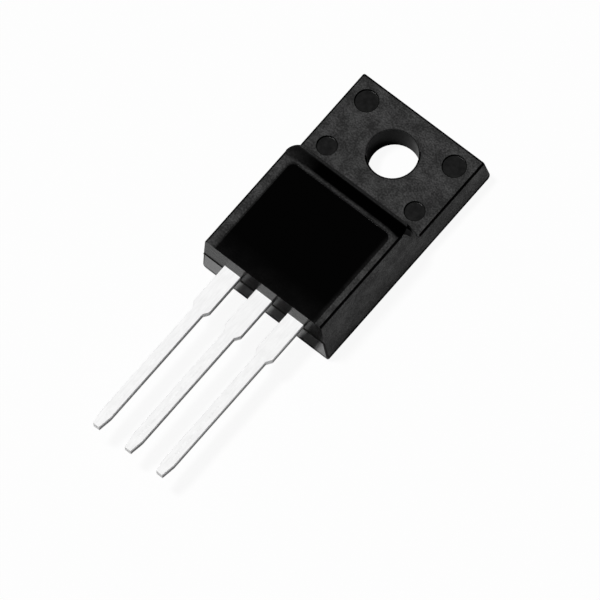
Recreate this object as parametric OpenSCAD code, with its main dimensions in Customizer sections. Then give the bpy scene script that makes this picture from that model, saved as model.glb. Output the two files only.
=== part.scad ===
// Power transistor in a fully moulded plug-in package with three leads.
// It lies on its back: the origin is the middle of the screw hole on the back face,
// +Z comes out of the front, +Y runs to the screw end and the leads run along -Y.

/* [Moulded body] */
// Width at the widest line of the sides
body_w = 10.16; // [9.8:0.02:10.6]
// Length from the screw end to the lead end
body_l = 15.84; // [15.4:0.02:16.4]
// Thickness of the thick half
body_t = 4.7; // [4.5:0.02:5]
// Thickness of the screw tab
tab_t = 2.54; // [2.4:0.02:2.7]
// Height of the widest line above the back face
widest_z = 0.5; // [0.3:0.05:0.7]
// Slope of the long sides in front of the widest line, in degrees
side_draft = 5.7; // [4:0.1:7]
// Slope of the screw end in front of the widest line, in degrees
screw_end_draft = 6.5; // [4:0.1:8]
// Slope of the lead end in front of the widest line, in degrees
lead_end_draft = 1; // [0.5:0.1:2]
// Slope of all faces behind the widest line, in degrees
back_draft = 10; // [6:0.5:14]
// Step at the parting line of the lead end, where the two mould halves meet
parting_step = 0.05; // [0.03:0.01:0.08]

/* [Rolled step] */
// Distance from the hole's middle to the foot of the step
step_y = 3.18; // [3:0.02:3.4]
// Lean of the step's wall, in degrees
step_lean = 10; // [6:0.5:15]
// Radius that rolls the wall into the front face
roll_r = 1.15; // [0.9:0.05:1.3]
// Radius of the thick half's two upright corners, at the foot of the step
corner_r = 0.45; // [0.3:0.05:0.6]
// How fast that radius grows towards the front, as a lean of its axis in degrees
corner_lean = 20; // [12:1:24]

/* [Marking panel] */
// Depth of the polished panel below the front face
panel_depth = 0.03; // [0.02:0.01:0.06]
// Satin border left of the panel
panel_left = 0.7; // [0.5:0.02:0.9]
// Satin border right of the panel
panel_right = 0.5; // [0.3:0.02:0.7]
// Satin border between the roll and the panel
panel_top = 0.42; // [0.2:0.02:0.6]
// Radius of the panel's two upper corners
panel_r = 0.5; // [0.3:0.05:0.8]

/* [Screw hole] */
// Diameter of the screw hole
hole_d = 3.25; // [3:0.05:3.5]
// Distance from the hole's middle to the screw end
hole_to_end = 3.32; // [3.1:0.02:3.5]

/* [Ejector marks] */
// Diameter of the two marks nearest the screw end
upper_mark_d = 1.5; // [1.3:0.05:1.6]
// Diameter of the two marks beside the step
lower_mark_d = 1.28; // [1.1:0.02:1.4]
// Distance of all marks from the middle line
mark_x = 3.53; // [3.4:0.01:3.6]
// Distance of the upper marks from the hole's middle, towards the screw end
upper_mark_y = 1.73; // [1.6:0.01:1.8]
// Distance of the lower marks from the hole's middle, towards the step
lower_mark_y = 2.13; // [2:0.01:2.2]
// Depth of the marks
mark_depth = 0.12; // [0.06:0.01:0.2]

/* [Leads] */
// Distance between neighbouring leads
lead_pitch = 2.54; // [2.4:0.02:2.6]
// Thickness of the leads
lead_t = 0.5; // [0.4:0.02:0.6]
// Height of the leads' back face above the back of the body
lead_z = 2.51; // [2.4:0.01:2.6]
// Length of the leads outside the body
lead_l = 13; // [10:0.1:14]
// Width of the leads next to the body
wide_w = 1.25; // [1.1:0.01:1.4]
// Length of the wide stretch outside the body
wide_l = 2.9; // [2.5:0.05:3.5]
// Length of the sloping shoulders
shoulder_l = 0.37; // [0.2:0.01:0.6]
// Width of the narrow stretch
narrow_w = 0.75; // [0.6:0.01:0.9]
// Width at the very tip
tip_w = 0.45; // [0.35:0.01:0.55]
// Length of the tapered tip
tip_l = 0.95; // [0.6:0.05:1.2]

/* [Collector frame] */
// Thickness of the heat spreader
spreader_t = 1.3; // [1.1:0.05:1.4]
// Resin behind the heat spreader
spreader_z = 0.55; // [0.5:0.05:0.7]
// Width of the heat spreader
spreader_w = 7.8; // [7:0.1:8]
// Distance from the hole's middle to the spreader's lead end
spreader_y = 10.9; // [10.7:0.05:11]
// Distance from the hole's middle to the spreader's screw end
spreader_top_y = 1.1; // [0.9:0.1:1.5]
// Resin wall between the screw hole and the spreader
hole_wall = 0.9; // [0.7:0.05:1.1]
// Side notches that lock the spreader in the resin
lock_notch_d = 0.8; // [0.5:0.1:1]
// Angle of the bends in the centre lead, in degrees
bend_angle = 60; // [50:1:65]
// Inner radius of the bends in the centre lead
bend_r = 0.25; // [0.2:0.01:0.3]

/* [Bond posts] */
// Gap between the bond posts and the centre lead
post_gap = 0.55; // [0.45:0.05:0.65]
// Distance of the bond posts from the middle line, at their outer side
post_x = 3.9; // [3.7:0.05:4]
// Distance from the hole's middle to the near side of the bond posts
post_y = 10.4; // [10.2:0.05:10.5]
// Length of the bond posts
post_l = 1.5; // [1.3:0.05:1.6]
// Diameter of the hole that locks each post in the resin
post_hole_d = 0.7; // [0.5:0.05:0.8]

/* [Chip] */
// Side of the square chip
chip_w = 4.2; // [4.1:0.1:4.6]
// Thickness of the chip
chip_t = 0.25; // [0.2:0.01:0.35]
// Distance from the hole's middle to the chip's middle
chip_y = 7.1; // [6.9:0.1:7.2]
// Thickness of the solder under the chip
solder_t = 0.06; // [0.04:0.01:0.1]
// How far the solder shows round the chip
solder_rim = 0.12; // [0.05:0.01:0.2]

/* [Bond wires] */
// Diameter of the base wire
base_wire_d = 0.25; // [0.2:0.01:0.3]
// Diameter of the emitter wires
emitter_wire_d = 0.32; // [0.25:0.01:0.38]
// Distance of the base wire and the nearer emitter wire from the middle line
wire_x = 1.4; // [1.35:0.01:1.45]
// Distance between the two emitter wires
wire_pitch = 0.46; // [0.42:0.01:0.5]
// Distance from the chip's lead edge to where the wires land on it
chip_landing = 0.7; // [0.5:0.05:0.9]
// Distance from the post's near side to where the wires land on it
post_landing = 0.6; // [0.5:0.05:0.7]
// Height of the wire loops above the line between their two ends
loop_h = 0.9; // [0.8:0.01:1]

/* [Hidden] */
$fn = 64;

// Room that cutting shapes reach past the faces they cut
over = 1;

// Half widths of the body at its back face, its widest line and its front face
widest_x = body_w / 2;
back_x = widest_x - widest_z * tan(back_draft);
front_x = widest_x - (body_t - widest_z) * tan(side_draft);
tab_x = widest_x - (tab_t - widest_z) * tan(side_draft);

// Places along Y of the body's two ends
screw_end = hole_to_end;
lead_end = hole_to_end - body_l;
back_inset = widest_z * tan(back_draft);
tab_end = screw_end - (tab_t - widest_z) * tan(screw_end_draft);
parting_end = lead_end + (lead_z - widest_z) * tan(lead_end_draft);
front_end = parting_end + parting_step + (body_t - lead_z) * tan(lead_end_draft);

// The roll touches the step's wall and the front face at these two points
roll_turn = 90 - step_lean;
roll_rise = roll_r * (1 - cos(roll_turn));
wall_top_y = -step_y - (body_t - roll_rise - tab_t) * tan(step_lean);
roll_y = wall_top_y - roll_r * sin(roll_turn);
roll_middle = [roll_y, body_t - roll_r];

// Places along Y where the leads' shoulders start and where the leads end
shoulder = lead_end - wide_l;
tip = lead_end - lead_l;

// Heights inside the body
spreader_top = spreader_z + spreader_t;
chip_z = spreader_top + solder_t;
chip_top = chip_z + chip_t;
lead_top = lead_z + lead_t;

// Points of an arc about middle, from one angle to another
function arc(middle, r, from, to, steps = 12) =
    [for (i = [0:steps]) let (a = from + (to - from) * i / steps) middle + r * [cos(a), sin(a)]];

// Turns an outline drawn in Y and Z into a bar along X, from x0 to x1
module bar_x(x0, x1) {
    translate([x0, 0, 0]) rotate([90, 0, 90]) linear_extrude(x1 - x0) children();
}

// Turns an outline drawn in X and Z into a bar along Y, from y0 to y1
module bar_y(y0, y1) {
    translate([0, y1, 0]) rotate([90, 0, 0]) linear_extrude(y1 - y0) children();
}

// Side view of the body in Y and Z, with the rolled step
module side_view() {
    apex = [-step_y - (body_t - tab_t) * tan(step_lean), body_t];
    wall_out = [cos(step_lean), sin(step_lean)];
    difference() {
        polygon([[screw_end - back_inset, 0], [screw_end, widest_z], [tab_end, tab_t],
                 [-step_y, tab_t], apex, [front_end, body_t],
                 [parting_end + parting_step, lead_z], [parting_end, lead_z],
                 [lead_end, widest_z], [lead_end + back_inset, 0]]);
        difference() {
            polygon([roll_middle, roll_middle + 2 * roll_r * wall_out,
                     apex + [over, over], roll_middle + [0, 2 * roll_r]]);
            translate(roll_middle) circle(r = roll_r);
        }
    }
}

// End view of the body in X and Z, widest near the back
module end_view() {
    polygon([[-back_x, 0], [-widest_x, widest_z], [-front_x, body_t],
             [front_x, body_t], [widest_x, widest_z], [back_x, 0]]);
}

// What rounds the upright corner of the thick half on the +X side. It is bounded by a cone
// with its tip on the leaning edge where the side meets the step's wall, so the cone touches
// both faces all the way up and its radius grows towards the front.
module corner_cut() {
    side_out = [cos(side_draft), 0, sin(side_draft)];
    wall_out = [0, cos(step_lean), sin(step_lean)];
    edge_up = cross(side_out, wall_out) / norm(cross(side_out, wall_out));
    corner_out = (side_out + wall_out) / norm(side_out + wall_out);
    axis = cos(corner_lean) * edge_up - sin(corner_lean) * corner_out;
    slope = tan(asin(sin(corner_lean) * corner_out * side_out));
    tip = [tab_x, -step_y, tab_t] - corner_r / slope * edge_up;
    reach = 2 * body_t;
    base = [axis, axis + side_out, axis + side_out + wall_out, axis + wall_out];
    intersection() {
        difference() {
            polyhedron(points = concat([tip], [for (ray = base) tip + reach * ray]),
                       faces = [[0, 1, 2], [0, 2, 3], [0, 3, 4], [0, 4, 1], [4, 3, 2, 1]]);
            translate(tip) rotate([0, acos(axis[2]), atan2(axis[1], axis[0])])
                cylinder(h = 2 * reach, r1 = 0, r2 = 2 * reach * slope);
        }
        translate([0, -step_y - body_w / 2, tab_t]) cube([body_w, body_w, body_t]);
    }
}

// Outline of the polished panel, open at the lead end
module panel_outline() {
    left = -front_x + panel_left;
    right = front_x - panel_right;
    top = roll_y - panel_top;
    width = right - left;
    translate([left, front_end - over]) square([width, top - panel_r - front_end + over]);
    translate([left + panel_r, top - 2 * panel_r]) square([width - 2 * panel_r, 2 * panel_r]);
    for (x = [left + panel_r, right - panel_r]) translate([x, top - panel_r]) circle(r = panel_r);
}

// Shallow round marks that the ejector pins leave in the tab's front
module ejector_marks() {
    for (side = [-1, 1]) {
        translate([side * mark_x, upper_mark_y, tab_t - mark_depth])
            cylinder(d = upper_mark_d, h = mark_depth + over);
        translate([side * mark_x, -lower_mark_y, tab_t - mark_depth])
            cylinder(d = lower_mark_d, h = mark_depth + over);
    }
}

// The resin body is moulded round everything inside it, so they are cut out of it
module moulded_body() color("#262626") {
    difference() {
        intersection() {
            bar_x(-body_w, body_w) side_view();
            bar_y(lead_end - over, screw_end + over) end_view();
        }
        corner_cut();
        mirror([1, 0, 0]) corner_cut();
        translate([0, 0, -over]) cylinder(d = hole_d, h = tab_t + 2 * over);
        ejector_marks();
        translate([0, 0, body_t - panel_depth]) linear_extrude(panel_depth + over) panel_outline();
        collector_frame();
        base_lead();
        emitter_lead();
        chip_solder();
        silicon_chip();
        base_wire();
        emitter_wires();
    }
}

// Points down one side of a lead, from the end of its wide stretch to its tip
function lead_side(side) =
    [for (p = [[wide_w, shoulder], [narrow_w, shoulder - shoulder_l],
               [narrow_w, tip + tip_l], [tip_w, tip]]) [side * p[0] / 2, p[1]]];

function reversed(list) = [for (i = [len(list) - 1:-1:0]) list[i]];

// Flat outline of a lead on its own middle line. The head lists the points of its
// inner end, from the +X side to the -X side.
module lead_outline(head) {
    polygon(concat(lead_side(-1), reversed(lead_side(1)), head));
}

// Flat outline of the heat spreader, hollowed round the screw hole
module spreader_outline() {
    clear_r = hole_d / 2 + hole_wall;
    difference() {
        translate([-spreader_w / 2, -spreader_y])
            square([spreader_w, spreader_y + spreader_top_y]);
        circle(r = clear_r);
        translate([-clear_r, 0]) square([2 * clear_r, spreader_top_y + over]);
        for (side = [-1, 1], y = [chip_y - chip_w / 2, chip_y + chip_w / 2])
            translate([side * spreader_w / 2, -y]) circle(d = lock_notch_d);
    }
}

// Side view in Y and Z of the centre lead's double bend, which climbs from the
// spreader's front face to the level of the other leads
bend_mid_r = bend_r + lead_t / 2;
bend_rise = lead_top - spreader_top;
bend_slope = (bend_rise - 2 * bend_mid_r * (1 - cos(bend_angle))) / sin(bend_angle);
bend_run = 2 * bend_mid_r * sin(bend_angle) + bend_slope * cos(bend_angle);
bend_end = -spreader_y - bend_run;

module double_bend() {
    low = [-spreader_y, spreader_top - lead_t / 2 + bend_mid_r];
    high = [bend_end, lead_z + lead_t / 2 - bend_mid_r];
    inner = bend_r;
    outer = bend_r + lead_t;
    polygon(concat(arc(low, inner, 270, 270 - bend_angle), arc(high, outer, 90 - bend_angle, 90),
                   arc(high, inner, 90, 90 - bend_angle), arc(low, outer, 270 - bend_angle, 270)));
}

// Heat spreader and centre lead, stamped and bent from one copper strip
module collector_frame() color("#d8d8d8") {
    translate([0, 0, spreader_z]) linear_extrude(spreader_t) spreader_outline();
    bar_x(-wide_w / 2, wide_w / 2) double_bend();
    translate([0, 0, lead_z]) linear_extrude(lead_t)
        lead_outline([[wide_w / 2, bend_end], [-wide_w / 2, bend_end]]);
}

// Outer lead on the -X side, widened inside the body into a bond post
module outer_lead() {
    inner_x = lead_pitch - wide_w / 2 - post_gap;
    outer_x = lead_pitch - post_x;
    post_end = -post_y - post_l;
    hole_x = outer_x + post_hole_d;
    difference() {
        translate([-lead_pitch, 0, lead_z]) linear_extrude(lead_t)
            lead_outline([[wide_w / 2, post_end], [inner_x, post_end], [inner_x, -post_y],
                          [outer_x, -post_y], [outer_x, post_end], [-wide_w / 2, post_end]]);
        translate([hole_x - lead_pitch, -post_y - post_l / 2, lead_z - over])
            cylinder(d = post_hole_d, h = lead_t + 2 * over);
    }
}

module base_lead() color("#d8d8d8") outer_lead();
module emitter_lead() color("#d8d8d8") mirror([1, 0, 0]) outer_lead();

// Layer of solder that holds the chip on the spreader
module chip_solder() color("#9a9a9a") {
    side = chip_w + 2 * solder_rim;
    translate([-side / 2, -chip_y - side / 2, spreader_top]) cube([side, side, solder_t]);
}

module silicon_chip() color("#4a4f58") {
    translate([-chip_w / 2, -chip_y - chip_w / 2, chip_z]) cube([chip_w, chip_w, chip_t]);
}

// Looped wire at x, a part of a ring that stands on the chip and on the bond post
module bond_wire(x, d) {
    chip_end = [-chip_y - chip_w / 2 + chip_landing, chip_top];
    post_end = [-post_y - post_landing, lead_top];
    chord = chip_end - post_end;
    loop_r = norm(chord) ^ 2 / (8 * loop_h) + loop_h / 2;
    up = [-chord[1], chord[0]] / norm(chord);
    middle = (chip_end + post_end) / 2 - (loop_r - loop_h) * up;
    high = middle[1] + loop_r + d + over;
    split = (chip_end[0] + post_end[0]) / 2;
    far = loop_r + d + over;
    intersection() {
        translate([x, middle[0], middle[1]]) rotate([0, 90, 0])
            rotate_extrude() translate([loop_r, 0]) circle(d = d, $fn = 24);
        bar_x(x - d, x + d)
            polygon([[middle[0] - far, lead_top], [split, lead_top], [split, chip_top],
                     [middle[0] + far, chip_top], [middle[0] + far, high],
                     [middle[0] - far, high]]);
    }
}

module base_wire() color("#c9c9cc") bond_wire(-wire_x, base_wire_d);

module emitter_wires() color("#c9c9cc") {
    for (i = [0, 1]) bond_wire(wire_x + i * wire_pitch, emitter_wire_d);
}

moulded_body();
collector_frame();
base_lead();
emitter_lead();
chip_solder();
silicon_chip();
base_wire();
emitter_wires();
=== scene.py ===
# %% [markdown]
# # A fully moulded power transistor
#
# The real part is one block of black resin, moulded round a bent copper frame with a silicon
# chip soldered on it. Three leads come out of the block, coated with tin, and the screw tab is
# resin too. The exact solids come from the CAD model. They are loaded first and never moved,
# so all that follows is about how their surfaces look.

import math

import bmesh
import bpy
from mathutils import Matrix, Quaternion, Vector


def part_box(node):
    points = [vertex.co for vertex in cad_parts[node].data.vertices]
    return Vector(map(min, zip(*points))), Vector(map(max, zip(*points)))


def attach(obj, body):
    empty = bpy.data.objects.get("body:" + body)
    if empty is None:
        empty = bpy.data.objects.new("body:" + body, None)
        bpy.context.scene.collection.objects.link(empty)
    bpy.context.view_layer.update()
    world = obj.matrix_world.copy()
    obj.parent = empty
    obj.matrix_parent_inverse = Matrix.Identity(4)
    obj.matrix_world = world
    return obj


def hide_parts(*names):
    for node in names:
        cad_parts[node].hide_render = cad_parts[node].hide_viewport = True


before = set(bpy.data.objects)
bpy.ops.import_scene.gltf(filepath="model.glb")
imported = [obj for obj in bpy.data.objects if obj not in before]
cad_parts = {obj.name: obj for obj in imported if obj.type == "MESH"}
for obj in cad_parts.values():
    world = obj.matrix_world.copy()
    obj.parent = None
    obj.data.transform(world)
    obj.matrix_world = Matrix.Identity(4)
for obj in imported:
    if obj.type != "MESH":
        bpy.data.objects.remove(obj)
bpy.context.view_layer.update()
scene = bpy.context.scene
MM = 0.001
print("CAD nodes:", ", ".join(sorted(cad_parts)))

# %% [markdown]
# ## Where things are
#
# A piece that dresses a solid needs the solid's own places. The boxes of the nodes give most of
# them, so they are asked for and not typed again. What a box can't tell, such as where the
# step starts or how wide a lead is, is written here in millimetres, as on a drawing. The zero
# point is the middle of the screw hole on the back, and the leads point along -Y.

# %% Sizes that the solids give
body_low, body_high = (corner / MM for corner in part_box("moulded_body"))
lead_low, lead_high = (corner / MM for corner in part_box("base_lead"))
BODY_FRONT = body_high.z
LEAD_END = body_low.y
LEAD_BACK, LEAD_FRONT = lead_low.z, lead_high.z
LEAD_TIP = lead_low.y
print(f"body {body_high.x - body_low.x:.2f} mm wide and {BODY_FRONT:.2f} mm thick,",
      f"leads from {LEAD_END:.2f} to {LEAD_TIP:.2f} mm")

# %% Sizes from the drawing
TAB_FRONT = 2.54
TAB_END = -3.14
STEP_FOOT = -3.18
ROLL_START, WALL_TOP = -4.54, -3.76
PANEL_LEFT, PANEL_RIGHT, PANEL_TOP = -4.02, 4.16, -4.96
PANEL_CORNER = 0.6
PANEL_DEPTH = 0.03
MARK_DEPTH = 0.12
HOLE_RADIUS = 1.625
WIDEST_HEIGHT = 0.5
MARK_PLACES = [(side * 3.53, y) for side in (-1, 1) for y in (1.73, -2.13)]
print(f"the step rolls down from y {ROLL_START} to {STEP_FOOT} mm,",
      f"marks at {MARK_PLACES}")

# %% [markdown]
# ## Camera
#
# The photograph was taken from the lead side, 68 degrees above the table, with a long lens, so
# lines that are parallel on the part stay nearly parallel in the picture. A camera can be
# turned by three angles or built from a target. Here it looks back along one direction at a
# point on the tab's level, and is then rolled about its own view line.

# %% Place the camera
VIEW_AZIMUTH = math.radians(46.5)
VIEW_ELEVATION = math.radians(67.52)
VIEW_ROLL = math.radians(-7.22)
VIEW_DISTANCE = 926.8 * MM
VIEW_TARGET = Vector((1.80, -11.14, TAB_FRONT)) * MM
to_camera = Vector((math.sin(VIEW_AZIMUTH) * math.cos(VIEW_ELEVATION),
                    -math.cos(VIEW_AZIMUTH) * math.cos(VIEW_ELEVATION),
                    math.sin(VIEW_ELEVATION)))

camera = bpy.data.objects.new("camera", bpy.data.cameras.new("camera"))
camera.data.sensor_width = 36
camera.data.lens = 900
camera.data.clip_start, camera.data.clip_end = 0.01, 20
camera.rotation_mode = "QUATERNION"
camera.location = VIEW_TARGET + VIEW_DISTANCE * to_camera
camera.rotation_quaternion = ((-to_camera).to_track_quat("-Z", "Y")
                              @ Quaternion((0, 0, 1), VIEW_ROLL))
scene.collection.objects.link(camera)
scene.camera = camera
scene.view_settings.view_transform = "Standard"
print("camera at", [round(c, 4) for c in camera.location])

# %% [markdown]
# ## Helpers for shader trees
#
# Every finish below is a small tree of nodes. The same few moves come back in each of them:
# take the place on the object, make a noise of a known grain size from it, and turn that noise
# into a range of values. Each tree could be built by hand, but short functions keep the
# finishes readable, and a change of one of them reaches every finish.

# %% Nodes, sums and blends
def new_material(name):
    """A material with its tree and its Principled shader."""
    material = bpy.data.materials.new(name)
    material.use_nodes = True
    return material, material.node_tree, material.node_tree.nodes["Principled BSDF"]


def add_node(tree, kind, **settings):
    """Adds a node of that kind and sets its properties."""
    node = tree.nodes.new(kind)
    for name, value in settings.items():
        setattr(node, name, value)
    return node


def math_node(tree, operation, *values):
    """One sum of sockets or numbers."""
    node = add_node(tree, "ShaderNodeMath", operation=operation)
    for slot, value in zip(node.inputs, values):
        if isinstance(value, (int, float)):
            slot.default_value = value
        else:
            tree.links.new(value, slot)
    return node.outputs["Value"]


def mix_shaders(tree, factor, first, second):
    """A blend of two shaders."""
    mix = add_node(tree, "ShaderNodeMixShader")
    for slot, socket in enumerate((factor, first, second)):
        tree.links.new(socket, mix.inputs[slot])
    return mix.outputs["Shader"]


print("tools for nodes are ready")


# %% Grain, tones and bumps
def grain(tree, size, detail=2.0, stretch=(1, 1, 1)):
    """Noise on Object coordinates whose grains are about size millimetres across."""
    place = add_node(tree, "ShaderNodeTexCoord")
    mapping = add_node(tree, "ShaderNodeMapping")
    mapping.inputs["Scale"].default_value = stretch
    noise = add_node(tree, "ShaderNodeTexNoise")
    noise.inputs["Scale"].default_value = 1 / (size * MM)
    noise.inputs["Detail"].default_value = detail
    tree.links.new(place.outputs["Object"], mapping.inputs["Vector"])
    tree.links.new(mapping.outputs["Vector"], noise.inputs["Vector"])
    return noise.outputs["Fac"]


def spread(tree, value, low, high, start=0.3, end=0.7):
    """Maps a value that runs from start to end to the range from low to high."""
    node = add_node(tree, "ShaderNodeMapRange")
    for name, number in {"From Min": start, "From Max": end, "To Min": low, "To Max": high}.items():
        node.inputs[name].default_value = number
    tree.links.new(value, node.inputs["Value"])
    return node.outputs["Result"]


def mix_colours(tree, factor, first, second):
    """A colour between two colours, which are sockets or numbers, chosen by factor."""
    node = add_node(tree, "ShaderNodeMix", data_type="RGBA")
    tree.links.new(factor, node.inputs["Factor"])
    for slot, colour in {"A": first, "B": second}.items():
        if isinstance(colour, tuple):
            node.inputs[slot].default_value = (*colour, 1)
        elif isinstance(colour, float):
            node.inputs[slot].default_value = (colour, colour, colour, 1)
        else:
            tree.links.new(colour, node.inputs[slot])
    return node.outputs["Result"]


def add_bump(tree, shader, height, distance):
    """Raises the surface by a height map, distance millimetres at most."""
    bump = add_node(tree, "ShaderNodeBump")
    bump.inputs["Distance"].default_value = distance * MM
    tree.links.new(height, bump.inputs["Height"])
    tree.links.new(bump.outputs["Normal"], shader.inputs["Normal"])


print("tools for grain, tones and bumps are ready")

# %% [markdown]
# ## Matte resin
#
# Most of the mould is spark eroded, which leaves fine pits in the steel. The resin copies them,
# so the tab and the sides look dark grey and slightly mottled, though the resin itself is black.
# An image of grain would show its edges on a form like this. Noise on the object's own
# coordinates has no edges and keeps its size in every view. A fine noise makes the pits, and a
# coarse one makes the faint clouds that uneven erosion leaves.

# %% Spark-eroded resin
PIT_SIZE, CLOUD_SIZE = 0.12, 0.9
PIT_DEPTH = 0.04
PIT_SHARE = 0.85
MATTE_TONES = 0.0001, 0.0115
MATTE_ROUGHNESS = 0.82, 0.60


def erode(tree, shader):
    """Gives a shader the pits and clouds of spark-eroded steel."""
    pits = grain(tree, PIT_SIZE, detail=3)
    clouds = spread(tree, grain(tree, CLOUD_SIZE, detail=3), 0.06, 0.32)
    mottle = spread(tree, math_node(tree, "MULTIPLY_ADD", pits, PIT_SHARE, clouds), 0, 1, 0.47, 0.77)
    tree.links.new(mix_colours(tree, mottle, *MATTE_TONES), shader.inputs["Base Color"])
    tree.links.new(spread(tree, mottle, *MATTE_ROUGHNESS, 0, 1), shader.inputs["Roughness"])
    add_bump(tree, shader, pits, PIT_DEPTH)


def eroded_resin(name):
    """Resin from the spark-eroded part of the mould."""
    material, tree, shader = new_material(name)
    erode(tree, shader)
    return material


resin = {"matte": eroded_resin("matte_resin")}
print("made", resin["matte"].name)

# %% [markdown]
# ## Resin with a polished part, and painted shade
#
# The marking is lasered or printed on a panel that a polished insert of the mould leaves. It is
# the same resin, but it mirrors the dark ceiling over the table, so it looks nearly black. The
# step's roll was polished by hand. There the resin is also made near black and hardly reflecting,
# which is painted shade; this dark band starts softly, bends back at both ends and fades on
# the left.
#
# A mask that is 1 where the steel was polished could drive the roughness of one shader. Halfway
# between matte and polished, that shader would catch the lamp and show a light stripe. So two
# whole shaders are mixed by the mask, and a soft edge of the polish stays dark.

# %% Resin that is matte in some places and polished in others, with painted shade on the roll
POLISH_AND_SHADE_TONE, POLISHED_ROUGHNESS = 0.0003, 0.1


def polish_and_painted_shade_resin(name, polish, specular, ior=1.5):
    """Spark-eroded resin, mixed towards near-black polished resin where the mask that polish makes is
    1; with a low specular level that is painted shade.
    """
    material, tree, matte = new_material(name)
    erode(tree, matte)
    polished = add_node(tree, "ShaderNodeBsdfPrincipled")
    polished.inputs["Base Color"].default_value = (POLISH_AND_SHADE_TONE, POLISH_AND_SHADE_TONE, POLISH_AND_SHADE_TONE, 1)
    polished.inputs["Roughness"].default_value = POLISHED_ROUGHNESS
    polished.inputs["Specular IOR Level"].default_value = specular
    polished.inputs["IOR"].default_value = ior
    surface = mix_shaders(tree, polish(tree), matte.outputs["BSDF"], polished.outputs["BSDF"])
    tree.links.new(surface, tree.nodes["Material Output"].inputs["Surface"])
    return material


print("polished resin has tone", POLISH_AND_SHADE_TONE, "and roughness", POLISHED_ROUGHNESS)


# %% Tools for masks
def place_along(tree, axis):
    """The place on the object along one axis, in metres."""
    place = add_node(tree, "ShaderNodeTexCoord")
    axes = add_node(tree, "ShaderNodeSeparateXYZ")
    tree.links.new(place.outputs["Object"], axes.inputs["Vector"])
    return axes.outputs[axis]


def ramp_along(tree, axis, start, end, low=0.0, high=1.0):
    """Rises from low at the place start to high at the place end, both in millimetres."""
    return spread(tree, place_along(tree, axis), low, high, start * MM, end * MM)


def both(tree, *masks):
    """A mask that is the product of several masks."""
    product = masks[0]
    for mask in masks[1:]:
        product = math_node(tree, "MULTIPLY", product, mask)
    return product


print("tools for masks are ready")

# %% [markdown]
# ## The panel's mask
#
# The panel's polish has a round corner at the upper left. The distance from that corner's
# centre gives the whole left and upper edge at once: where only one of the two ways to the
# centre is positive, the edge is straight, and where both are, it is an arc.

# %% Polish of the panel
CORNER_RISE = 0.17
INNER_FADE, OUTER_FADE = 0.17, 0.04


def panel_polish(tree):
    """Polished, with a soft edge on the left and weaker polish at the right and at the foot."""
    corner = PANEL_CORNER * MM
    beside = math_node(tree, "SUBTRACT", PANEL_LEFT * MM + corner, place_along(tree, "X"))
    above = math_node(tree, "SUBTRACT", place_along(tree, "Y"), (PANEL_TOP + CORNER_RISE) * MM - corner)
    squares = [math_node(tree, "POWER", math_node(tree, "MAXIMUM", way, 0), 2)
               for way in (beside, above)]
    away = math_node(tree, "SQRT", math_node(tree, "ADD", *squares))
    left = spread(tree, away, 1, 0, corner - INNER_FADE * MM, corner + OUTER_FADE * MM)
    right = ramp_along(tree, "X", PANEL_RIGHT - 0.3, PANEL_RIGHT, 1, 0.8)
    foot = ramp_along(tree, "Y", LEAD_END + 0.1, LEAD_END + 1.7, 0.93, 1)
    return both(tree, left, right, foot)


resin["panel"] = polish_and_painted_shade_resin("panel_resin", panel_polish, 0.3)
print("made", resin["panel"].name)

# %% [markdown]
# ## The roll's masks
#
# The polish and painted shade of the roll start over a quarter of a millimetre and end where
# the wall begins. Towards both sides their start bows a little to the leads. Between the roll and
# the panel the matte strip is narrow and half polished and shaded too. On the right the painted
# shade runs on round the corner of the step.

# %% Polish and painted shade of the roll, and painted shade on its corner
POLISH_RISE = 0.28
BOW, BOW_FROM, BOW_TO = 0.12, 3.6, 4.4


def roll_polish_and_painted_shade(tree):
    """Polished and painted dark as shade on the roll, and less so on the narrow strip between the roll
    and the panel.
    """
    off_middle = math_node(tree, "ABSOLUTE", place_along(tree, "X"))
    bow = spread(tree, off_middle, 0, BOW * MM, BOW_FROM * MM, BOW_TO * MM)
    start = (ROLL_START - 0.34) * MM
    bowed = math_node(tree, "ADD", place_along(tree, "Y"), bow)
    roll = spread(tree, bowed, 0, 1, start, start + POLISH_RISE * MM)
    left_fade = ramp_along(tree, "X", -4.5, -2.3, 0.68, 1)
    wall = ramp_along(tree, "Y", WALL_TOP - 0.05, WALL_TOP + 0.05, 1, 0)
    strip = ramp_along(tree, "Y", PANEL_TOP + 0.03, PANEL_TOP + 0.16, 0.75, 0.22)
    over_panel = spread(tree, off_middle, 1, 0, BOW_FROM * MM, 4.2 * MM)
    return math_node(tree, "MAXIMUM", both(tree, roll, left_fade, wall), both(tree, strip, over_panel))


def corner_painted_shade(tree):
    """Painted shade on the step's right corner, from the roll's level but not down to the tab."""
    return both(tree, ramp_along(tree, "Z", 3.2, 3.75), ramp_along(tree, "X", 0, 1))


# Painted shade: with a specular level of 0.01 on the roll and an IOR of 1.03 on the corner, their
# near-black resin hardly reflects.
resin["roll"] = polish_and_painted_shade_resin("roll_shade_resin", roll_polish_and_painted_shade, 0.01)
resin["corner"] = polish_and_painted_shade_resin("step_corner_shade_resin", corner_painted_shade, 0.5, ior=1.03)
print("made", resin["roll"].name, "and", resin["corner"].name)

# %% [markdown]
# ## Smooth steel, and painted shade
#
# Pins and inserts leave smaller smooth spots: the four ejector marks, the bore that a core pin
# forms, and the lead end, where the blades that hold the leads shut the mould. The rounded edges,
# the walls of the marks and the ledge of the parting step at the lead end get a near-black resin
# that hardly reflects, which is painted shade along them. The bore's resin is painted shade
# too. These spots need no mask, since each of them has its own faces, so one plain function
# makes them all.

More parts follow.
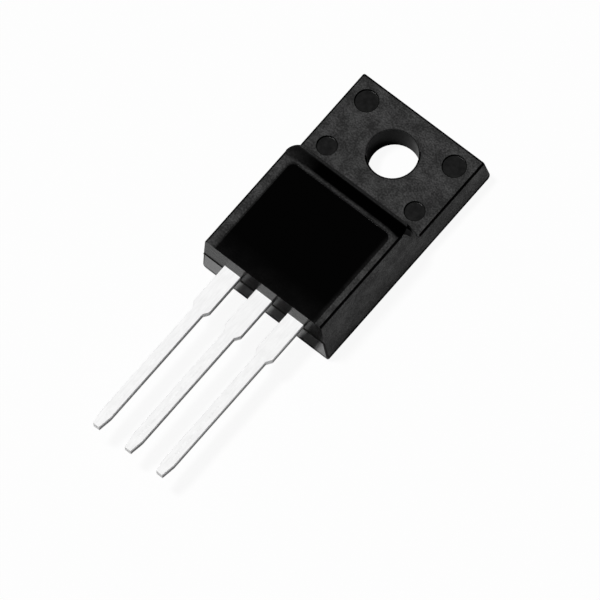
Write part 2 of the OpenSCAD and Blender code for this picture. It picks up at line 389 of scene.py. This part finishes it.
# %% Smooth resin
def smooth_resin(name, tone, roughness, specular=0.5, bump=0.001, ior=1.5):
    """Resin that copies smooth steel, such as an ejector pin's end or the lead end's insert. Near black
    and hardly reflecting, it is painted shade.
    """
    material, tree, shader = new_material(name)
    soft = grain(tree, 0.35, detail=2)
    tree.links.new(mix_colours(tree, soft, tone * 0.8, tone * 1.2), shader.inputs["Base Color"])
    tree.links.new(spread(tree, soft, roughness - 0.02, roughness + 0.02), shader.inputs["Roughness"])
    shader.inputs["Specular IOR Level"].default_value = specular
    shader.inputs["IOR"].default_value = ior
    add_bump(tree, shader, grain(tree, PIT_SIZE), bump)
    return material


# Painted shade: the edge resin is near black and hardly reflects, so rounded edges, mark walls and the
# parting ledge stay dark.
resin["edge"] = smooth_resin("edge_painted_shade_resin", 0.0003, 0.35, 0.02)
resin["mark"] = smooth_resin("pin_mark_resin", 0.003, 0.20)
# Painted shade: the bore's resin is near black and hardly reflects, so the inside of the hole stays
# dark.
resin["bore"] = smooth_resin("bore_painted_shade_resin", 0.0003, 0.30, ior=1.06)
resin["front end"] = smooth_resin("front_end_resin", 0.0003, 0.12, 0.055, 0.015)
resin["rear end"] = smooth_resin("rear_end_resin", 0.002, 0.12, 0.5, 0.012)
print("resin finishes:", ", ".join(resin))

# %% [markdown]
# ## Metals and what the resin hides
#
# The frame and the leads are copper alloy, and only what stays outside the resin is dipped in
# tin. Matte tin is almost white, with fine lines along the lead from the stamping and the
# wipe. The inner pieces never show, but each gets its own finish all the same, so that an
# opened view of the part looks right too.

# %% Metal and chip finishes
def metal(name, tones, roughness, metallic=1.0, stretch=(1, 1, 1), size=0.3):
    """A metal that varies between two colours, with grains of that size and stretch."""
    material, tree, shader = new_material(name)
    shader.inputs["Metallic"].default_value = metallic
    streaks = grain(tree, size, detail=3, stretch=stretch)
    tree.links.new(mix_colours(tree, spread(tree, streaks, 0, 1), *tones), shader.inputs["Base Color"])
    tree.links.new(spread(tree, streaks, roughness + 0.04, roughness - 0.04),
                   shader.inputs["Roughness"])
    add_bump(tree, shader, streaks, 0.003)
    return material


copper = metal("frame_copper", ((0.75, 0.38, 0.26), (0.88, 0.50, 0.36)), 0.3, stretch=(1, 0.2, 1))
solder = metal("chip_solder_grey", ((0.45, 0.45, 0.46), (0.62, 0.62, 0.63)), 0.45)
silicon = metal("chip_silicon", ((0.10, 0.11, 0.14), (0.16, 0.17, 0.21)), 0.15, size=0.8)
wire = metal("wire_aluminium", ((0.80, 0.80, 0.81), (0.91, 0.91, 0.92)), 0.25, stretch=(3, 1, 3))
print("metals:", copper.name, solder.name, silicon.name, wire.name)

# %% [markdown]
# ## Tin, and tin with painted shade on the cut edges
#
# A stamp shears the first part of the metal's thickness cleanly and tears the rest. On the
# narrow sides of the leads the tin stays light at the front and is painted dark behind, which is
# painted shade on those sides. A ramp along the thickness tells the two apart, and it is softer
# than an edge of the mesh would be.

# %% Tin finishes
TIN_TONES = 0.84, 0.90
# Painted shade on the back part of the leads' narrow sides.
TORN_PAINTED_SHADE_TONES = 0.16, 0.26
CLEAN_CUT = 0.12, 0.2


def tin_coating(name):
    """Matte tin with fine lines along the lead."""
    return metal(name, TIN_TONES, 0.6, metallic=0.1, stretch=(1, 0.12, 1), size=0.1)


def paint_shade_on_torn_part(material):
    """Paints shade on the tin: dark at the back of the lead's thickness, where the metal was torn, and
    clean at the front.
    """
    tree = material.node_tree
    colour = tree.nodes["Principled BSDF"].inputs["Base Color"]
    clean = colour.links[0].from_socket
    torn_shade = mix_colours(tree, grain(tree, 0.1, 3), *TORN_PAINTED_SHADE_TONES)
    front, back = (LEAD_FRONT - depth for depth in CLEAN_CUT)
    tree.links.new(mix_colours(tree, ramp_along(tree, "Z", back, front), torn_shade, clean), colour)


tin = tin_coating("matte_tin")
cut_tin_with_painted_shade = tin_coating("cut_edge_tin_painted_shade")
paint_shade_on_torn_part(cut_tin_with_painted_shade)
print("tin:", tin.name, "and", cut_tin_with_painted_shade.name)

# %% [markdown]
# ## The moulded body
#
# The CAD solid has the true form with knife-sharp edges. Real moulded edges are a little round,
# and that small radius is what catches the light. The solid's mesh may not be changed, so the
# body is a copy of it. The copy's loose triangles are merged first and its flat faces are
# joined, because a bevel needs edges that know both their faces.

# %% Copy the solid's mesh
def merged_copy(node):
    """The node's mesh as a bmesh, with its corners merged and flat neighbours joined."""
    mesh = bmesh.new()
    mesh.from_mesh(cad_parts[node].data)
    bmesh.ops.remove_doubles(mesh, verts=mesh.verts, dist=1e-4 * MM)
    bmesh.ops.dissolve_limit(mesh, angle_limit=math.radians(0.4), verts=mesh.verts, edges=mesh.edges)
    return mesh


body = merged_copy("moulded_body")
print(f"body copy: {len(body.verts)} corners, {len(body.faces)} faces,",
      f"{sum(not e.is_manifold for e in body.edges)} open edges")

# %% [markdown]
# ## Rounded edges
#
# A bevel by angle alone would also round the walls of the pockets inside, where nothing shows.
# It would spoil the shallow rims of the panel and the marks, which are thinner than the
# radius. So each edge is asked where it is, by small tests that take a place in millimetres.

# %% Places that keep their edges
def in_pocket(point):
    """True for a place on the walls that the resin has round the pieces inside it."""
    deep = point.z < 2.2 or point.y < STEP_FOOT - 0.5
    beside_hole = math.hypot(point.x, point.y) > HOLE_RADIUS + 0.05
    inside = abs(point.x) < 4 and LEAD_END + 0.15 < point.y < 1.2 and 0.5 < point.z < BODY_FRONT - 0.3
    return inside and deep and beside_hole


def at_lead_end(point):
    """True for the thin steps and sharp edges of the end where the leads come out."""
    return point.y < LEAD_END + 0.2 and (point.z > BODY_FRONT - 0.1 or 2.4 < point.z < 3.1)


def on_roll(point):
    """True for the rolled step, which is round already, and for its two corners."""
    return STEP_FOOT - 1.5 < point.y < TAB_END + 0.01 and TAB_FRONT - 0.01 < point.z


def near_mark(point):
    """True for the ejector marks and their rims."""
    return any(math.hypot(point.x - x, point.y - y) < 0.8 for x, y in MARK_PLACES)


def on_panel(point):
    """True for the panel, which is only slightly sunk, and its rims."""
    return point.z > BODY_FRONT - PANEL_DEPTH - 0.01 and abs(point.x) < PANEL_RIGHT + 0.1


KEPT_PLACES = in_pocket, at_lead_end, on_roll, near_mark, on_panel
print("edges stay sharp where one of", len(KEPT_PLACES), "tests is true at both ends")

# %% [markdown]
# ## Two radii
#
# The outer corners of the mould leave a radius of about an eighth of a millimetre. The rims of
# the ejector marks, and the step in the parting line beside the leads, are crisper. Only edges
# that stand out are rounded, and the widest line of the body is so blunt that it needs a limit
# of its own. The tab is first cut across a little off the foot of the step, because a bevel
# that ran into the roll would thin out to a point there.

# %% Choose the edges
EDGE_RADIUS = 0.13
SMALL_RADIUS = 0.045
SHARP = math.radians(24)
BLUNT = math.radians(10)


def takes_radius(edge):
    """True for the outer edges that a mould leaves round."""
    if not (edge.is_manifold and edge.is_convex):
        return False
    ends = [v.co / MM for v in edge.verts]
    at_widest = all(abs(p.z - WIDEST_HEIGHT) < 0.01 for p in ends)
    if edge.calc_face_angle(0) < (BLUNT if at_widest else SHARP):
        return False
    return not any(all(kept(p) for p in ends) for kept in KEPT_PLACES)


def takes_small_radius(edge):
    """True for the rims of the ejector marks and the step that crosses the lead end."""
    if not (edge.is_manifold and edge.is_convex) or edge.calc_face_angle(0) < SHARP:
        return False
    ends = [v.co / MM for v in edge.verts]
    at_step = all(p.y < LEAD_END + 0.1 and abs(p.z - LEAD_BACK) < 0.02 and abs(p.x) > 3.2 for p in ends)
    return at_step or all(near_mark(p) and abs(p.z - TAB_FRONT) < 0.01 for p in ends)


print(sum(takes_radius(edge) for edge in body.edges), "outer edges and",
      sum(takes_small_radius(edge) for edge in body.edges), "fine ones are chosen")


# %% Round them
def round_edges(chooser, radius):
    """Rounds the edges that the chooser picks and gives the new faces a mark."""
    chosen = [edge for edge in body.edges if chooser(edge)]
    made = bmesh.ops.bevel(body, geom=chosen, offset=radius * MM, offset_type="OFFSET", segments=3,
                           profile=0.5, affect="EDGES", clamp_overlap=False)["faces"]
    for face in made:
        face[rim] = 1
    body.normal_update()
    return len(chosen)


rim = body.faces.layers.int.new("rim")
everything = list(body.verts) + list(body.edges) + list(body.faces)
bmesh.ops.bisect_plane(body, geom=everything, plane_co=(0, TAB_END * MM, 0), plane_no=(0, 1, 0))
rounded_edges = [round_edges(takes_small_radius, SMALL_RADIUS), round_edges(takes_radius, EDGE_RADIUS)]
print("rounded", rounded_edges, "edges, now", len(body.faces), "faces,",
      f"{sum(not e.is_manifold for e in body.edges)} open edges")

# %% [markdown]
# ## Which finish goes where
#
# One piece can carry several materials, one for each face. A painted mask could do the same, but
# the finishes follow the mould's inserts, and those end exactly at edges of the form. So each
# face is given its finish by where it lies. The rounded rims come first, then the step, then
# the lead end, the bore, the panel and the marks, and all that is left is matte.

# %% Finishes of the rims and the step
STEEP = 0.5


def rim_finish(middle, normal):
    """Rims get the near-black edge resin, painted shade along them, but half of the screw hole's rim is
    eroded with the tab.
    """
    beside_hole = math.hypot(middle.x, middle.y) < HOLE_RADIUS + EDGE_RADIUS + 0.05
    return "matte" if beside_hole and normal.x > normal.y else "edge"


def step_finish(normal):
    """The roll, and its steep corners where they turn to the sides."""
    turned = abs(normal.x) / math.hypot(normal.x, normal.y)
    if turned < 0.3 or normal.z > STEEP:
        return "roll"
    return "corner" if turned < 0.97 else "matte"


print("the far side of the hole's rim is", rim_finish(Vector((-1.7, 0, 2.5)), Vector((1, 0, 0))))


# %% Finishes of all faces
def finish_of(face):
    """The name of the finish of a face of the body."""
    middle, normal = face.calc_center_median() / MM, face.normal
    at_end = middle.y < LEAD_END + 0.2
    if face[rim]:
        return rim_finish(middle, normal)
    if middle.z > BODY_FRONT - 0.005 and normal.z > 0.99:
        return "roll"
    if on_roll(middle) and normal.y > 0.05:
        return step_finish(normal)
    # The ledge of the parting step at the lead end gets the edge resin: painted shade under the step.
    if at_end and normal.z > 0.9 and middle.z < LEAD_FRONT + 0.1:
        return "edge"
    if at_end and normal.y < -STEEP:
        return "front end" if middle.z > LEAD_BACK else "rear end"
    # The bore gets a near-black resin that hardly reflects: painted shade inside the hole.
    if math.hypot(middle.x, middle.y) < HOLE_RADIUS + 0.02 and abs(normal.z) < 0.3:
        return "bore"
    if on_panel(middle):
        return "panel"
    # The walls of the marks get the edge resin: painted shade in the marks.
    if near_mark(middle) and TAB_FRONT - MARK_DEPTH - 0.01 < middle.z < TAB_FRONT - 0.01:
        return "mark" if normal.z > 0.9 else "edge"
    return "matte"


finish_names = list(resin)
face_counts = dict.fromkeys(finish_names, 0)
for face in body.faces:
    finish = finish_of(face)
    face.material_index = finish_names.index(finish)
    face_counts[finish] += 1
print("faces by finish:", face_counts)

# %% [markdown]
# ## From bmesh to a finished piece
#
# With smooth shading, the wide flat faces would borrow their normals from the narrow rounded
# strips beside them and look bent. The Weighted Normal modifier gives the wide faces the say.
# Its result is kept as a plain mesh, so the piece carries no live modifier.

# %% Tools for a finished piece
CREASE = math.radians(35)


def plain_piece(name, source):
    """An object with the source's evaluated mesh, at the origin and without modifiers."""
    depsgraph = bpy.context.evaluated_depsgraph_get()
    mesh = bpy.data.meshes.new_from_object(source.evaluated_get(depsgraph),
                                           preserve_all_data_layers=True, depsgraph=depsgraph)
    mesh.name = name
    piece = bpy.data.objects.new(name, mesh)
    scene.collection.objects.link(piece)
    bpy.data.objects.remove(source)
    return piece


def with_even_normals(name, shape, materials):
    """A piece from a bmesh, shaded as flat faces with rounded edges."""
    shape.normal_update()
    for face in shape.faces:
        face.smooth = True
    for edge in shape.edges:
        edge.smooth = edge.calc_face_angle(0) < CREASE
    mesh = bpy.data.meshes.new(name)
    shape.to_mesh(mesh)
    shape.free()
    for material in materials:
        mesh.materials.append(material)
    draft = bpy.data.objects.new(name + "_draft", mesh)
    scene.collection.objects.link(draft)
    weighted = draft.modifiers.new("even normals", "WEIGHTED_NORMAL")
    weighted.keep_sharp = True
    return plain_piece(name, draft)


print("edges stay creased from", round(math.degrees(CREASE)), "degrees")

# %% Finish the body
resin_body = with_even_normals("resin_body", body, list(resin.values()))
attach(resin_body, "root")
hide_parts("moulded_body")
print(f"{resin_body.name}: {len(resin_body.data.polygons)} faces")

# %% [markdown]
# ## The tin coat on the leads
#
# The three leads are stamped from one strip, so they have the same outline: a wide stretch, a
# shoulder where the tie bar was cut away, a narrow stretch and a tapered tip. After moulding
# they are dipped in tin. The coat is a hundredth of a millimetre thick and softens the stamped
# edges. It starts a little inside the resin, so that no bare copper shows where a lead comes
# out. What repeats by a rule is a case for Geometry Nodes: one tree draws the coat once and
# sets it down three times, a lead pitch apart.

# %% Sizes of the coat
COAT = 0.012
CORNER = 0.035
CORNER_POINTS = 3
LEAD_COUNT, LEAD_PITCH = 3, 2.54
WIDE, NARROW, TIP = 1.25, 0.75, 0.45
WIDE_LENGTH, SHOULDER_LENGTH, TIP_LENGTH = 2.9, 0.37, 0.95
INSIDE = 0.2
stations = [(LEAD_END + INSIDE, WIDE), (LEAD_END - WIDE_LENGTH, WIDE),
            (LEAD_END - WIDE_LENGTH - SHOULDER_LENGTH, NARROW),
            (LEAD_TIP + TIP_LENGTH, NARROW), (LEAD_TIP - COAT, TIP)]
print("stations along a lead:", [(round(y, 2), w) for y, w in stations])


# %% Tools for the tree
def named_input(tree, name, kind):
    """Adds a named input to a node group."""
    tree.interface.new_socket(name=name, in_out="INPUT", socket_type=kind)


def choose_by_index(tree, sockets):
    """A node that gives the first point the first value, the second point the second, and on."""
    switch = add_node(tree, "GeometryNodeIndexSwitch", data_type="FLOAT")
    while len(switch.index_switch_items) < len(sockets):
        switch.index_switch_items.new()
    index = add_node(tree, "GeometryNodeInputIndex")
    tree.links.new(index.outputs["Index"], switch.inputs["Index"])
    for slot, socket in zip(list(switch.inputs)[1:], sockets):
        tree.links.new(socket, slot)
    return switch.outputs["Output"]


def combine(tree, x=None, y=None, z=None):
    """A vector from up to three sockets."""
    node = add_node(tree, "ShaderNodeCombineXYZ")
    for name, socket in {"X": x, "Y": y, "Z": z}.items():
        if socket is not None:
            tree.links.new(socket, node.inputs[name])
    return node.outputs["Vector"]


def part_of(tree, vector, axis):
    """One axis of a vector."""
    node = add_node(tree, "ShaderNodeSeparateXYZ")
    tree.links.new(vector, node.inputs["Vector"])
    return node.outputs[axis]


print("tree tools are ready")

# %% [markdown]
# ## The path of a lead
#
# The tree lays one point for each station along the lead and stores on it the lead's width
# there. A curve keeps what its points store, so the width is still known when a section has
# been swept along it.

# %% Lay the path
def lay_path(tree, given):
    """A curve along one lead, with the lead's width on each point."""
    link = tree.links.new
    numbers = range(1, len(stations) + 1)
    line = add_node(tree, "GeometryNodeMeshLine")
    line.inputs["Count"].default_value = len(stations)
    places = choose_by_index(tree, [given[f"Place {number}"] for number in numbers])
    widths = choose_by_index(tree, [given[f"Width {number}"] for number in numbers])
    laid = add_node(tree, "GeometryNodeSetPosition")
    link(line.outputs["Mesh"], laid.inputs["Geometry"])
    link(combine(tree, y=places), laid.inputs["Position"])
    marked = add_node(tree, "GeometryNodeStoreNamedAttribute", data_type="FLOAT", domain="POINT")
    marked.inputs["Name"].default_value = "lead_width"
    link(laid.outputs["Geometry"], marked.inputs["Geometry"])
    link(widths, marked.inputs["Value"])
    path = add_node(tree, "GeometryNodeMeshToCurve")
    link(marked.outputs["Geometry"], path.inputs["Mesh"])
    upright = add_node(tree, "GeometryNodeSetCurveNormal", mode="Z_UP")
    link(path.outputs["Curve"], upright.inputs["Curve"])
    return upright.outputs["Curve"]


print("a path has", len(stations), "points")

# %% [markdown]
# ## The section and its widths
#
# A section that is scaled from point to point would scale its rounded corners too. So the tree
# sweeps the widest section along the whole path, and then moves each side of it in to the
# width that the nearest point stored. Every corner keeps its radius.

# %% Sweep the section
def sweep_section(tree, given, path):
    """The widest section, rounded and swept along the path."""
    link = tree.links.new
    section = add_node(tree, "GeometryNodeCurvePrimitiveQuadrilateral")
    link(given["Width 1"], section.inputs["Width"])
    link(given["Thickness"], section.inputs["Height"])
    rounded = add_node(tree, "GeometryNodeFilletCurve", mode="POLY")
    rounded.inputs["Count"].default_value = CORNER_POINTS
    link(section.outputs["Curve"], rounded.inputs["Curve"])
    link(given["Corner Radius"], rounded.inputs["Radius"])
    swept = add_node(tree, "GeometryNodeCurveToMesh")
    swept.inputs["Fill Caps"].default_value = True
    link(path, swept.inputs["Curve"])
    link(rounded.outputs["Curve"], swept.inputs["Profile Curve"])
    return swept.outputs["Mesh"]


def follow_widths(tree, given, shape):
    """Moves both sides of the shape to the stored width, and the whole to its height."""
    link = tree.links.new
    width = add_node(tree, "GeometryNodeInputNamedAttribute", data_type="FLOAT")
    width.inputs["Name"].default_value = "lead_width"
    here = add_node(tree, "GeometryNodeInputPosition").outputs["Position"]
    wider = math_node(tree, "SUBTRACT", width.outputs["Attribute"], given["Width 1"])
    side = math_node(tree, "SIGN", part_of(tree, here, "X"))
    shift = math_node(tree, "MULTIPLY", side, math_node(tree, "MULTIPLY", wider, 0.5))
    shaped = add_node(tree, "GeometryNodeSetPosition")
    link(shape, shaped.inputs["Geometry"])
    link(combine(tree, x=shift, z=given["Middle Height"]), shaped.inputs["Offset"])
    return shaped.outputs["Geometry"]


print("section corners have", CORNER_POINTS, "points")

# %% [markdown]
# ## Three leads, two finishes
#
# The row is centred on the middle lead, so its start is half of the pitches to the left.
# The tree makes its copies real and then hands out the tin: first to every face, and then the
# cut-edge tin, with its painted shade, to the faces that look sideways, which are the ones that
# the stamp has cut.

# %% Repeat the lead and give the tin
def repeat_in_row(tree, given, shape):
    """Real copies of the shape, side by side and centred."""
    link = tree.links.new
    row = add_node(tree, "GeometryNodeMeshLine")
    link(given["Leads"], row.inputs["Count"])
    link(combine(tree, x=given["Pitch"]), row.inputs["Offset"])
    half = math_node(tree, "MULTIPLY", math_node(tree, "SUBTRACT", given["Leads"], 1), -0.5)
    start = combine(tree, x=math_node(tree, "MULTIPLY", half, given["Pitch"]))
    link(start, row.inputs["Start Location"])
    copies = add_node(tree, "GeometryNodeInstanceOnPoints")
    link(row.outputs["Mesh"], copies.inputs["Points"])
    link(shape, copies.inputs["Instance"])
    real = add_node(tree, "GeometryNodeRealizeInstances")
    link(copies.outputs["Instances"], real.inputs["Geometry"])
    return real.outputs["Geometry"]


def give_finish(tree, shape, material, chosen=None):
    """Sets a material on all faces of the shape, or on the chosen ones."""
    finish = add_node(tree, "GeometryNodeSetMaterial")
    tree.links.new(shape, finish.inputs["Geometry"])
    tree.links.new(material, finish.inputs["Material"])
    if chosen is not None:
        tree.links.new(chosen, finish.inputs["Selection"])
    return finish.outputs["Geometry"]


def looks_sideways(tree):
    """True on the narrow sides of the leads."""
    normal = add_node(tree, "GeometryNodeInputNormal").outputs["Normal"]
    return math_node(tree, "GREATER_THAN", math_node(tree, "ABSOLUTE", part_of(tree, normal, "X")), 0.9)


print(LEAD_COUNT, "leads,", LEAD_PITCH, "mm apart")


# %% The whole tree
def tin_coat_tree():
    """The node group that makes the coat of all leads."""
    tree = bpy.data.node_groups.new("tin_coat", "GeometryNodeTree")
    for number in range(1, len(stations) + 1):
        named_input(tree, f"Place {number}", "NodeSocketFloat")
        named_input(tree, f"Width {number}", "NodeSocketFloat")
    for name in ("Middle Height", "Thickness", "Corner Radius", "Pitch"):
        named_input(tree, name, "NodeSocketFloat")
    named_input(tree, "Leads", "NodeSocketInt")
    named_input(tree, "Finish", "NodeSocketMaterial")
    named_input(tree, "Cut Finish", "NodeSocketMaterial")
    tree.interface.new_socket(name="Geometry", in_out="OUTPUT", socket_type="NodeSocketGeometry")
    given = add_node(tree, "NodeGroupInput").outputs
    lead = follow_widths(tree, given, sweep_section(tree, given, lay_path(tree, given)))
    leads = give_finish(tree, repeat_in_row(tree, given, lead), given["Finish"])
    coat = give_finish(tree, leads, given["Cut Finish"], looks_sideways(tree))
    tree.links.new(coat, add_node(tree, "NodeGroupOutput").inputs["Geometry"])
    return tree


coat_tree = tin_coat_tree()
print(f"{coat_tree.name}: {len(coat_tree.nodes)} nodes")


# %% Run the tree
def run_tree(name, tree, values):
    """The mesh that a tree makes from the named values."""
    draft = bpy.data.objects.new(name + "_draft", bpy.data.meshes.new(name + "_draft"))
    modifier = draft.modifiers.new("made", "NODES")
    modifier.node_group = tree
    for item in tree.interface.items_tree:
        if item.item_type == "SOCKET" and item.name in values:
            modifier[item.identifier] = values[item.name]
    scene.collection.objects.link(draft)
    return plain_piece(name, draft)


coat_values = {"Middle Height": (LEAD_BACK + LEAD_FRONT) / 2 * MM,
               "Thickness": (LEAD_FRONT - LEAD_BACK + 2 * COAT) * MM,
               "Corner Radius": CORNER * MM, "Pitch": LEAD_PITCH * MM, "Leads": LEAD_COUNT,
               "Finish": tin, "Cut Finish": cut_tin_with_painted_shade}
for number, (y, width) in enumerate(stations, 1):
    coat_values[f"Place {number}"] = y * MM
    coat_values[f"Width {number}"] = (width + 2 * COAT) * MM
coat_draft = run_tree("tin_coat_sweep", coat_tree, coat_values)
print(f"{coat_draft.name}: {len(coat_draft.data.polygons)} faces")

# %% [markdown]
# ## Close the coat
#
# The caps of a swept section don't share their points with its sides. They are merged, so that
# the coat is closed, and then its faces are turned outwards and shaded as the body's are.

# %% Finish the tin coat
coat_materials = list(coat_draft.data.materials)
coat = bmesh.new()
coat.from_mesh(coat_draft.data)
bmesh.ops.remove_doubles(coat, verts=coat.verts, dist=1e-4 * MM)
bmesh.ops.recalc_face_normals(coat, faces=coat.faces)
bpy.data.objects.remove(coat_draft)
tin_coat = with_even_normals("tin_coat", coat, coat_materials)
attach(tin_coat, "root")
places = [v.co / MM for v in tin_coat.data.vertices]
print("tin coat from y", round(min(p.y for p in places), 3), "to", round(max(p.y for p in places), 3))

# %% [markdown]
# ## Finishes of the solids that stay
#
# The frame, the posts, the solder, the chip and the wires are right as they are. Their form
# isn't touched, only the material in their slots is exchanged.

# %% Dress the inner solids
inner_finish = {"collector_frame": copper, "base_lead": copper, "emitter_lead": copper,
                "chip_solder": solder, "silicon_chip": silicon, "base_wire": wire,
                "emitter_wires": wire}
for node, material in inner_finish.items():
    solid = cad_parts[node].data
    solid.materials.clear()
    solid.materials.append(material)
print("dressed:", ", ".join(inner_finish))

# %% [markdown]
# ## Floor
#
# The part lies on its back on a plain white table. A large flat sheet is enough, and its colour
# alone makes the background pale. The camera sees the sheet lifted towards pure white, as in a
# product photograph, but its shadow stays. Metal and gloss see it lifted a little too. Its
# underside is clear, so that the part's back can be looked at from below. It lies a fiftieth of
# a millimetre under the part, because two faces in one plane would flicker through each other.

# %% The floor's paint
FLOOR_PAINT = 0.8
CAMERA_LIFT = 0.93
MIRROR_LIFT = 0.02


def floor_material():
    """White paint, lifted for the camera and for mirrors, and clear from below."""
    material, tree, shader = new_material("white_table")
    tree.nodes.remove(shader)
    paint = add_node(tree, "ShaderNodeBsdfDiffuse")
    paint.inputs["Color"].default_value = (FLOOR_PAINT, FLOOR_PAINT, FLOOR_PAINT, 1)
    glow = add_node(tree, "ShaderNodeEmission")
    clear = add_node(tree, "ShaderNodeBsdfTransparent")
    rays = add_node(tree, "ShaderNodeLightPath").outputs
    mirrors = math_node(tree, "MAXIMUM", rays["Is Glossy Ray"], rays["Is Transmission Ray"])
    lift = math_node(tree, "ADD", math_node(tree, "MULTIPLY", rays["Is Camera Ray"], CAMERA_LIFT),
                     math_node(tree, "MULTIPLY", mirrors, MIRROR_LIFT))
    top = mix_shaders(tree, lift, paint.outputs["BSDF"], glow.outputs["Emission"])
    below = add_node(tree, "ShaderNodeNewGeometry").outputs["Backfacing"]
    both_sides = mix_shaders(tree, below, top, clear.outputs["BSDF"])
    tree.links.new(both_sides, tree.nodes["Material Output"].inputs["Surface"])
    return material


print("floor paint", FLOOR_PAINT, "lifted by", CAMERA_LIFT, "for the camera")

# %% Lay the floor
FLOOR_SIZE, FLOOR_LEVEL = 6.0, -0.02

floor_mesh = bpy.data.meshes.new("table_top")
reach = FLOOR_SIZE / 2
floor_mesh.from_pydata([(x * reach, y * reach, FLOOR_LEVEL * MM)
                        for x, y in ((-1, -1), (1, -1), (1, 1), (-1, 1))], [], [(0, 1, 2, 3)])
floor_mesh.materials.append(floor_material())
table_top = bpy.data.objects.new("table_top", floor_mesh)
scene.collection.objects.link(table_top)
print("floor is", FLOOR_SIZE, "m wide")

# %% [markdown]
# ## Light
#
# The polished panel is black in the photograph and the tin beside it is white, though both face
# the same way. So the place that the panel mirrors is dark, and the lamp stands beside it,
# where the rough tin still catches it. It hangs almost overhead, a little to the left and
# towards the leads, because their shadows lie right under them. An area lamp would light the
# near side of the table more than the far side. A sun lamp with a wide angle is a soft lamp
# that lights the whole table alike. The world is a dim room that softens the shadows.

# %% The lamp
KEY_DIRECTION = Vector((-0.24, -0.14, 0.96))
KEY_STRENGTH = 3.1
KEY_ANGLE = math.radians(9)

key = bpy.data.objects.new("key", bpy.data.lights.new("key", "SUN"))
key.data.energy = KEY_STRENGTH
key.data.angle = KEY_ANGLE
key.rotation_mode = "QUATERNION"
key.rotation_quaternion = KEY_DIRECTION.to_track_quat("Z", "Y")
scene.collection.objects.link(key)
print("key lamp", KEY_STRENGTH, "from", [round(c, 2) for c in KEY_DIRECTION])

# %% The room
ROOM_LEVEL = 0.02

world = bpy.data.worlds.new("dim_room")
world.use_nodes = True
scene.world = world
room = world.node_tree.nodes["Background"]
room.inputs["Color"].default_value = (1, 1, 1, 1)
seen = add_node(world.node_tree, "ShaderNodeLightPath").outputs["Is Camera Ray"]
level = math_node(world.node_tree, "MAXIMUM", seen, ROOM_LEVEL)
world.node_tree.links.new(level, room.inputs["Strength"])
print("room level", ROOM_LEVEL)
